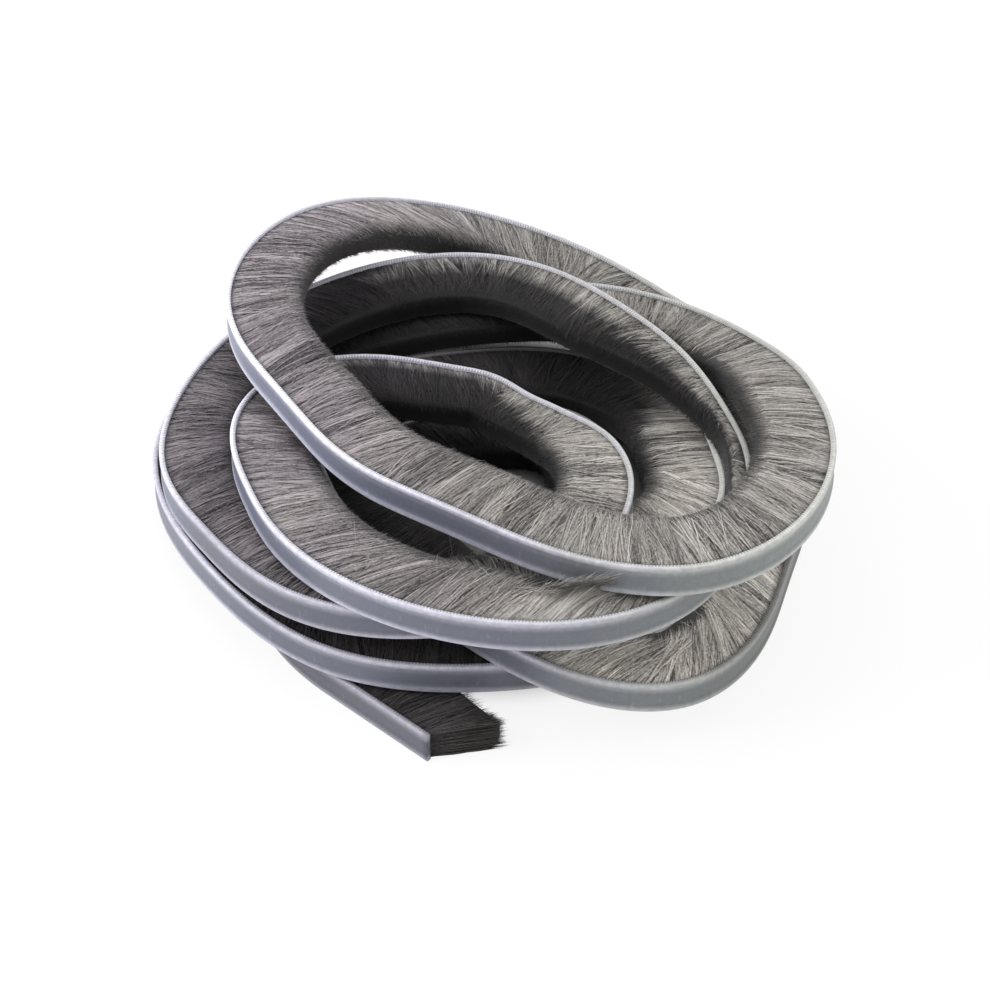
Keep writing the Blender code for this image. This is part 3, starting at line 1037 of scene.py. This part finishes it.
class STRIP_OT_tip_fibres(Operator):
    """Stand short wisps all over the face of the pile's tips"""

    bl_idname = "brush_strip.tip_fibres"
    bl_label = "Tip fibres"

    SEED = 12
    STRETCHES = 2
    # The tip wisps' colours are scaled down, as painted shade on the face of the tips.
    SHADE_GAIN = 0.30
    GATHER = (0.1, 0.7)
    RISES = (-1.0, 0.72)
    END_SPREAD = 0.02
    CLUMP_END = 0.012
    LENGTHS = (0.12, 0.26)
    SWAY = (0.18, 0.03)
    LEAN_SPREAD = 0.25
    BEFORE_ROUNDING = 0.93
    HEIGHT_SPREAD = 0.0003
    LOWEST = 0.00015
    THICKNESS = (1.2, 2.4)
    TONE = 0.38
    TONE_SPREAD = 0.20
    TONE_SWAY = (0.12, 0.008)
    RAGGED_SPREAD = 0.06

    def execute(self, context):
        sizes = context.scene.strip_sizes
        shape = PileShape(sizes)
        random = np.random.default_rng(self.SEED)
        distance = scattered(random, sizes.tip_per_mm)
        count = len(distance)
        clump_lift = clumps(random, distance, self.GATHER)[3]
        rise = random.uniform(*self.RISES, count)
        ends = shape.tip_share(rise) - np.abs(random.normal(0.0, self.END_SPREAD, count))
        ends = (ends + self.CLUMP_END * clump_lift) * worn(distance)
        starts = ends - random.uniform(*self.LENGTHS, count)
        lean = wander(random, distance, *self.SWAY) + random.normal(0.0, self.LEAN_SPREAD, count)
        lean = lean + end_swing(distance)
        runs = np.stack([starts, ends], axis=1)
        offsets = (runs - starts[:, None]) * shape.length * lean[:, None]
        offsets = offsets + (end_swing(distance) * shape.length * starts)[:, None]
        depths = shape.root + runs * shape.length
        spread = rise[:, None] * shape.half_width(np.minimum(runs, self.BEFORE_ROUNDING))
        tossed = random.normal(0.0, self.HEIGHT_SPREAD, (count, 1)) * (runs > starts[:, None])
        heights = np.clip(BACKING_WIDTH / 2.0 + spread + tossed, self.LOWEST, BACKING_WIDTH)
        radii = sizes.fibre_radius * random.uniform(*self.THICKNESS, count)[:, None]
        tones = self.TONE + random.normal(0.0, self.TONE_SPREAD, count)
        tones = np.clip(tones + wander(random, distance, *self.TONE_SWAY), 0.0, 1.0)
        ragged = random.normal(0.0, self.RAGGED_SPREAD, count)
        material = fibre_material(context.scene.strip_looks, "fibre_tips", self.SHADE_GAIN)
        lay_wisps("tip_fibres", material, distance, (runs, offsets, depths, heights), radii, tones,
                  random, 3, ragged, self.STRETCHES)
        return {"FINISHED"}


class STRIP_OT_lower_fibres(Operator):
    """Lay wisps of fibre under the pile"""

    bl_idname = "brush_strip.lower_fibres"
    bl_label = "Lower fibres"

    SEED = 13
    RINGS = (0.0, 0.5, 1.0)
    END = 0.96
    END_SPREAD = 0.015
    SWAY = (0.2, 0.04)
    LEAN_SPREAD = 0.08
    SUNK = (0.0002, 0.0008)
    LOWEST = 0.00025
    THICKNESS = (1.6, 2.0)
    THICKNESS_SPREAD = (0.8, 1.3)
    TONE = 0.45
    TONE_SPREAD = 0.12

    def execute(self, context):
        sizes = context.scene.strip_sizes
        shape = PileShape(sizes)
        random = np.random.default_rng(self.SEED)
        distance = scattered(random, sizes.lower_per_mm)
        count = len(distance)
        ends = (self.END + random.normal(0.0, self.END_SPREAD, count)) * worn(distance)
        lean = wander(random, distance, *self.SWAY) + random.normal(0.0, self.LEAN_SPREAD, count)
        lean = lean + end_swing(distance)
        runs = np.array(self.RINGS)[None, :] * ends[:, None]
        offsets = runs * shape.length * lean[:, None]
        depths = shape.root + runs * shape.length
        sunk = random.uniform(*self.SUNK, count)[:, None]
        heights = BACKING_WIDTH / 2.0 - shape.half_width(runs) + sunk
        heights = np.maximum(heights, self.LOWEST)
        radii = sizes.fibre_radius * np.array(self.THICKNESS)[None, :]
        radii = radii * random.uniform(*self.THICKNESS_SPREAD, count)[:, None]
        tones = tones_round(random, count, self.TONE, self.TONE_SPREAD)
        material = common_fibre(context.scene.strip_looks)
        lay_wisps("lower_fibres", material, distance, (runs, offsets, depths, heights), radii, tones,
                  random, 3)
        return {"FINISHED"}


class STRIP_OT_end_fibres(Operator):
    """Fan wisps out over the pile's two cut ends"""

    bl_idname = "brush_strip.end_fibres"
    bl_label = "End fibres"

    SEED = 14
    HIDDEN_END_EVERY = 3
    INTO_SPREAD = 0.0012
    RISES = (-0.97, 0.97)
    ENDS = (0.86, 1.02)
    RINGS = (0.0, 0.33, 0.66, 1.0)
    FAN = 0.07
    LEAN_SPREAD = 0.05
    BEND_SPREAD = 0.0005
    BEFORE_ROUNDING = 0.93
    HEIGHT_SPREAD = 0.0004
    LOWEST = 0.0002
    THICKNESS = (1.0, 1.4, 1.0)
    THICKNESS_SPREAD = (0.6, 1.4)
    TONE = 0.42
    TONE_SPREAD = 0.2

    def execute(self, context):
        sizes = context.scene.strip_sizes
        shape = PileShape(sizes)
        random = np.random.default_rng(self.SEED)
        count = sizes.end_count
        into = np.abs(random.normal(0.0, self.INTO_SPREAD, count))
        far = np.arange(count) % self.HIDDEN_END_EVERY == 0
        distance = np.where(far, LINE.length - into, into)
        rise = random.uniform(*self.RISES, count)
        ends = random.uniform(*self.ENDS, count) * worn(distance)
        runs = np.array(self.RINGS)[None, :] * ends[:, None]
        out = np.where(far, 1.0, -1.0) * np.abs(random.normal(0.0, self.FAN, count))
        lean = out + end_swing(distance) + random.normal(0.0, self.LEAN_SPREAD, count)
        bend = random.normal(0.0, self.BEND_SPREAD, count)[:, None] * np.sin(runs * math.pi)
        offsets = runs * shape.length * lean[:, None] + bend
        depths = shape.root + runs * shape.length
        spread = rise[:, None] * shape.half_width(np.minimum(runs, self.BEFORE_ROUNDING))
        tossed = random.normal(0.0, self.HEIGHT_SPREAD, (count, 1)) * runs
        heights = np.maximum(BACKING_WIDTH / 2.0 + spread + tossed, self.LOWEST)
        radii = sizes.fibre_radius * np.array(self.THICKNESS)[None, :]
        radii = radii * random.uniform(*self.THICKNESS_SPREAD, count)[:, None]
        tones = tones_round(random, count, self.TONE, self.TONE_SPREAD)
        material = common_fibre(context.scene.strip_looks)
        lay_wisps("end_fibres", material, distance, (runs, offsets, depths, heights), radii, tones,
                  random, 3)
        return {"FINISHED"}


class STRIP_OT_stray_fibres(Operator):
    """Scatter loose single fibres that lie askew over the pile"""

    bl_idname = "brush_strip.stray_fibres"
    bl_label = "Stray fibres"

    SEED = 15
    STARTS = (0.05, 0.6)
    LENGTHS = (0.25, 0.6)
    RINGS = (0.0, 0.33, 0.66, 1.0)
    LEAN_SPREAD = 0.7
    BEND_SPREAD = 0.0016
    BEND_TURN = 3.0
    LIFT_MOST = 0.0004
    THICKNESS = 0.38
    TONE = 0.58
    TONE_SPREAD = 0.2

    def execute(self, context):
        sizes = context.scene.strip_sizes
        shape = PileShape(sizes)
        random = np.random.default_rng(self.SEED)
        distance = scattered(random, sizes.stray_per_mm)
        count = len(distance)
        first = random.uniform(*self.STARTS, count)[:, None]
        reach = random.uniform(*self.LENGTHS, count)[:, None]
        runs = np.minimum(first + reach * np.array(self.RINGS)[None, :], 1.0)
        lean = random.normal(0.0, self.LEAN_SPREAD, count) + end_swing(distance)
        bend = random.normal(0.0, self.BEND_SPREAD, count)[:, None]
        bend = bend * np.sin((runs - first) * self.BEND_TURN)
        offsets = (runs - first) * shape.length * lean[:, None] + bend
        depths = shape.root + runs * shape.length
        lifted = random.uniform(0.0, self.LIFT_MOST, count)[:, None]
        heights = BACKING_WIDTH / 2.0 + shape.half_width(runs) + lifted
        radii = np.full((count, len(self.RINGS) - 1), self.THICKNESS * sizes.fibre_radius)
        tones = tones_round(random, count, self.TONE, self.TONE_SPREAD)
        material = common_fibre(context.scene.strip_looks)
        lay_wisps("stray_fibres", material, distance, (runs, offsets, depths, heights), radii, tones,
                  random, 2)
        return {"FINISHED"}


class STRIP_OT_studio(Operator):
    """Set up the floor, lamps, sky and camera"""

    bl_idname = "brush_strip.studio"
    bl_label = "Studio"

    def execute(self, context):
        studio = context.scene.studio_sizes
        self.lay_floor(studio, context.scene.strip_looks)
        self.hang_lamps(studio)
        self.light_sky(studio)
        self.set_camera(studio)
        context.scene.view_settings.view_transform = "Standard"
        return {"FINISHED"}

    def lay_floor(self, studio, looks):
        half = studio.floor_size / 2.0
        corners = [(-half, -half, 0.0), (half, -half, 0.0), (half, half, 0.0), (-half, half, 0.0)]
        floor = mesh_object("floor", np.array(corners), [(0, 1, 2, 3)], floor_material(looks), {})

    def hang_lamps(self, studio):
        lamps = (
            ("key_lamp", (-0.85, -0.15, 0.65), 0.7, studio.key_power, (1.0, 0.99, 1.0)),
            ("fill_lamp", (0.6, -0.5, 0.7), 0.8, studio.fill_power, (1.0, 1.0, 0.97)),
            ("top_lamp", (0.0, 0.1, 1.1), 0.8, studio.top_power, (1.0, 1.0, 1.0)),
        )
        for name, place, size, power, colour in lamps:
            data = bpy.data.lights.new(name, "AREA")
            data.size = size
            data.energy = power
            data.color = colour
            lamp = bpy.data.objects.new(name, data)
            lamp.location = place
            lamp.rotation_euler = (-Vector(place)).to_track_quat("-Z", "Y").to_euler()
            bpy.context.scene.collection.objects.link(lamp)

    def light_sky(self, studio):
        world = bpy.data.worlds.new("studio_sky")
        nodes = Nodes(world)
        white = (1.0, 1.0, 1.0, 1.0)
        soft = nodes.add("ShaderNodeBackground", None, {"Color": white, "Strength": studio.sky})
        shown = nodes.add("ShaderNodeBackground", None, {"Color": white, "Strength": 1.0})
        shader = nodes.add("ShaderNodeMixShader", None, {0: nodes.seen(), 1: soft, 2: shown})
        nodes.make("ShaderNodeOutputWorld", None, {"Surface": shader})
        bpy.context.scene.world = world

    def set_camera(self, studio):
        target = Vector(studio.target) - Vector(LINE.footing)
        back = Vector((0.0, -math.cos(studio.elevation), math.sin(studio.elevation)))
        data = bpy.data.cameras.new("camera")
        data.lens = studio.lens
        data.sensor_width = 36.0
        camera = bpy.data.objects.new("camera", data)
        camera.location = target + back * studio.distance
        camera.rotation_euler = (-back).to_track_quat("-Z", "Y").to_euler()
        bpy.context.scene.collection.objects.link(camera)
        bpy.context.scene.camera = camera


MAKERS = (STRIP_OT_backing, STRIP_OT_pile_core, STRIP_OT_upper_fibres, STRIP_OT_tip_fibres,
          STRIP_OT_lower_fibres, STRIP_OT_end_fibres, STRIP_OT_stray_fibres, STRIP_OT_studio)


class STRIP_PT_maker(Panel):
    """Sizes, colours and makers of the brush seal strip"""

    bl_label = "Brush Seal Strip"
    bl_idname = "STRIP_PT_maker"
    bl_space_type = "VIEW_3D"
    bl_region_type = "UI"
    bl_category = "Brush Seal"

    def draw(self, context):
        layout = self.layout
        for group in (context.scene.strip_sizes, context.scene.strip_looks, context.scene.studio_sizes):
            column = layout.column()
            for name in group.bl_rna.properties.keys():
                if name not in {"rna_type", "name"}:
                    column.prop(group, name)
        for maker in MAKERS:
            layout.operator(maker.bl_idname)


GROUPS = {"strip_sizes": StripSizes, "strip_looks": StripLooks, "studio_sizes": StudioSizes}


def register():
    for group in (*GROUPS.values(), *MAKERS, STRIP_PT_maker):
        bpy.utils.register_class(group)
    for name, group in GROUPS.items():
        setattr(bpy.types.Scene, name, PointerProperty(type=group))


def unregister():
    for name in GROUPS:
        delattr(bpy.types.Scene, name)
    for group in reversed((*GROUPS.values(), *MAKERS, STRIP_PT_maker)):
        bpy.utils.unregister_class(group)


def main():
    register()
    bpy.ops.brush_strip.backing()
    bpy.ops.brush_strip.pile_core()
    bpy.ops.brush_strip.upper_fibres()
    bpy.ops.brush_strip.tip_fibres()
    bpy.ops.brush_strip.lower_fibres()
    bpy.ops.brush_strip.end_fibres()
    bpy.ops.brush_strip.stray_fibres()
    bpy.ops.brush_strip.studio()


if __name__ == "__main__":
    main()
